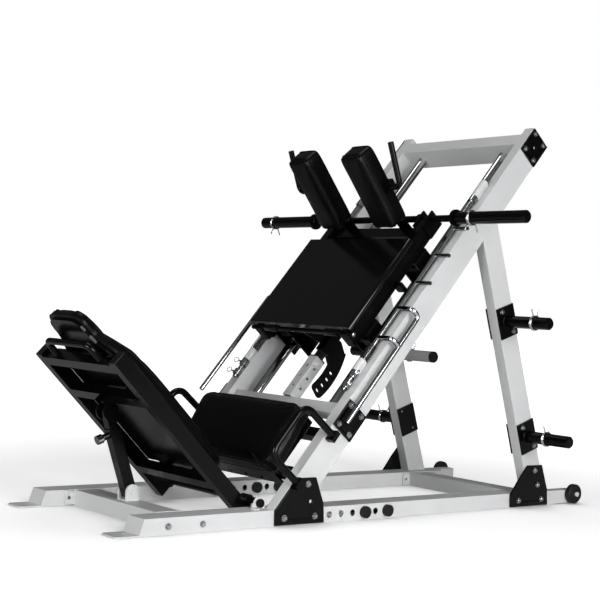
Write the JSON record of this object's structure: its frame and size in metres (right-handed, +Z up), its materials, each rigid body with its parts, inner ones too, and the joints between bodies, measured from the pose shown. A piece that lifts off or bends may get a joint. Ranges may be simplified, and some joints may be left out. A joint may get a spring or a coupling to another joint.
{
  "type": "leg press machine",
  "caption": "Plate loaded inclined leg press with a sliding roller sled, tilting footplate, loading sleeves, turning safety bars, fixed seat and reclining back.",
  "frame": {"origin": "middle of the plan of the bounding box, on the floor", "axes": "+Z up, +X along the floor rails towards the transport wheels, the seated user's right hand at -Y"},
  "size_m": [2.3905, 1.61, 1.6041],
  "materials": {
    "white_coat": "satin",
    "black_coat": "satin",
    "grey_coat": "satin",
    "chrome": "polished",
    "zinc": "satin",
    "vinyl": "satin",
    "rubber": "matte",
    "board": "semi-gloss"
  },
  "bodies": {
    "frame": {"right_base_rail": "white_coat", "left_base_rail": "white_coat", "front_crossbeam": "white_coat", "rear_crossbeam": "white_coat", "right_front_foot": "white_coat", "left_front_foot": "white_coat", "right_incline_beam": "white_coat", "left_incline_beam": "white_coat", "top_crossbeam": "white_coat", "lower_crossmember": "white_coat", "right_rear_leg": "white_coat", "left_rear_leg": "white_coat", "right_front_gusset": "black_coat", "left_front_gusset": "black_coat", "right_rear_gusset": "black_coat", "left_rear_gusset": "black_coat", "beam_plates": "black_coat", "right_guide_tube": "chrome", "left_guide_tube": "chrome", "stop_post": "white_coat", "stop_bumper": "rubber", "right_upper_horn": "black_coat", "right_lower_horn": "black_coat", "left_lower_horn": "black_coat", "left_middle_horn": "black_coat", "left_inner_horn": "grey_coat", "storage_clips": "chrome", "seat_pad": "vinyl", "seat_frame": "black_coat", "right_seat_handle": "black_coat", "left_seat_handle": "black_coat", "band_pegs": "rubber", "frame_bolts": "zinc", "safety_sleeves": "white_coat", "right_bumper_spring": "chrome", "left_bumper_spring": "chrome", "backrest_brackets": "white_coat", "strut_bracket": "white_coat"},
    "right_wheel": {"right_wheel": "rubber"},
    "left_wheel": {"left_wheel": "rubber"},
    "sled": {"sled_frame": "black_coat", "weight_bar": "black_coat", "sleeve_clips": "chrome", "right_shoulder_pad": "vinyl", "left_shoulder_pad": "vinyl", "hand_grips": "black_coat"},
    "lower_top_rollers": {"lower_top_rollers": "rubber"},
    "lower_under_rollers": {"lower_under_rollers": "rubber"},
    "upper_top_rollers": {"upper_top_rollers": "rubber"},
    "upper_under_rollers": {"upper_under_rollers": "rubber"},
    "footplate": {"footplate": "board", "tilt_quadrant": "black_coat"},
    "right_safety": {"right_safety_bar": "chrome"},
    "left_safety": {"left_safety_bar": "chrome"},
    "backrest": {"backrest_frame": "black_coat", "back_handle": "black_coat", "backrest_pad": "vinyl"},
    "strut_outer": {"strut_outer": "black_coat"},
    "strut_inner": {"strut_inner": "black_coat"},
    "strut_pin": {"strut_pin": "chrome"}
  },
  "joints": [
    {"name": "sled_slide", "type": "slide", "parent": "frame", "child": "sled", "axis": [0.6428, 0, 0.766], "range_m": [0, 0.485]},
    {"name": "lower_top_roll", "type": "hinge", "parent": "sled", "child": "lower_top_rollers", "pos_m": [0.0459, 0, 0.69771], "axis": [0, 1, 0], "range_deg": [0, 1235]},
    {"name": "lower_under_roll", "type": "hinge", "parent": "sled", "child": "lower_under_rollers", "pos_m": [0.10971, 0, 0.64417], "axis": [0, 1, 0], "range_deg": [-1235, 0]},
    {"name": "upper_top_roll", "type": "hinge", "parent": "sled", "child": "upper_top_rollers", "pos_m": [0.29273, 0, 0.99187], "axis": [0, 1, 0], "range_deg": [0, 1235]},
    {"name": "upper_under_roll", "type": "hinge", "parent": "sled", "child": "upper_under_rollers", "pos_m": [0.35654, 0, 0.93833], "axis": [0, 1, 0], "range_deg": [-1235, 0]},
    {"name": "footplate_tilt", "type": "hinge", "parent": "sled", "child": "footplate", "pos_m": [-0.10249, 0, 0.70343], "axis": [0, -1, 0], "range_deg": [0, 18.6]},
    {"name": "right_safety_turn", "type": "hinge", "parent": "frame", "child": "right_safety", "pos_m": [0.19981, -0.345, 0.93147], "axis": [-0.6428, 0, -0.766], "range_deg": [0, 105]},
    {"name": "left_safety_turn", "type": "hinge", "parent": "frame", "child": "left_safety", "pos_m": [0.19981, 0.345, 0.93147], "axis": [0.6428, 0, 0.766], "range_deg": [0, 60]},
    {"name": "backrest_tilt", "type": "hinge", "parent": "frame", "child": "backrest", "pos_m": [-0.53498, 0, 0.08], "axis": [0, 1, 0], "range_deg": [0, 10]},
    {"name": "strut_swing", "type": "hinge", "parent": "frame", "child": "strut_outer", "pos_m": [-0.87998, 0, 0.092], "axis": [0, 1, 0], "range_deg": [0, 13]},
    {"name": "strut_extend", "type": "slide", "parent": "strut_outer", "child": "strut_inner", "axis": [-0.3441, 0, 0.9389], "range_m": [0, 0.058]},
    {"name": "strut_pin_pull", "type": "slide", "parent": "strut_outer", "child": "strut_pin", "axis": [-0.9389, 0, -0.3441], "range_m": [0, 0.012], "stiffness_N_per_m": 300},
    {"name": "right_wheel_roll", "type": "hinge", "parent": "frame", "child": "right_wheel", "pos_m": [1.15202, -0.406, 0.044], "axis": [0, 1, 0], "continuous": true},
    {"name": "left_wheel_roll", "type": "hinge", "parent": "frame", "child": "left_wheel", "pos_m": [1.15202, 0.406, 0.044], "axis": [0, 1, 0], "continuous": true}
  ],
  "couplings": [
    {"joint": "lower_top_roll", "follows": "sled_slide", "rad_per_m": 44.097},
    {"joint": "lower_under_roll", "follows": "sled_slide", "rad_per_m": -44.097},
    {"joint": "upper_top_roll", "follows": "sled_slide", "rad_per_m": 44.097},
    {"joint": "upper_under_roll", "follows": "sled_slide", "rad_per_m": -44.097},
    {"joint": "strut_swing", "follows": "backrest_tilt", "ratio": 1.296},
    {"joint": "strut_extend", "follows": "backrest_tilt", "m_per_rad": 0.33}
  ]
}
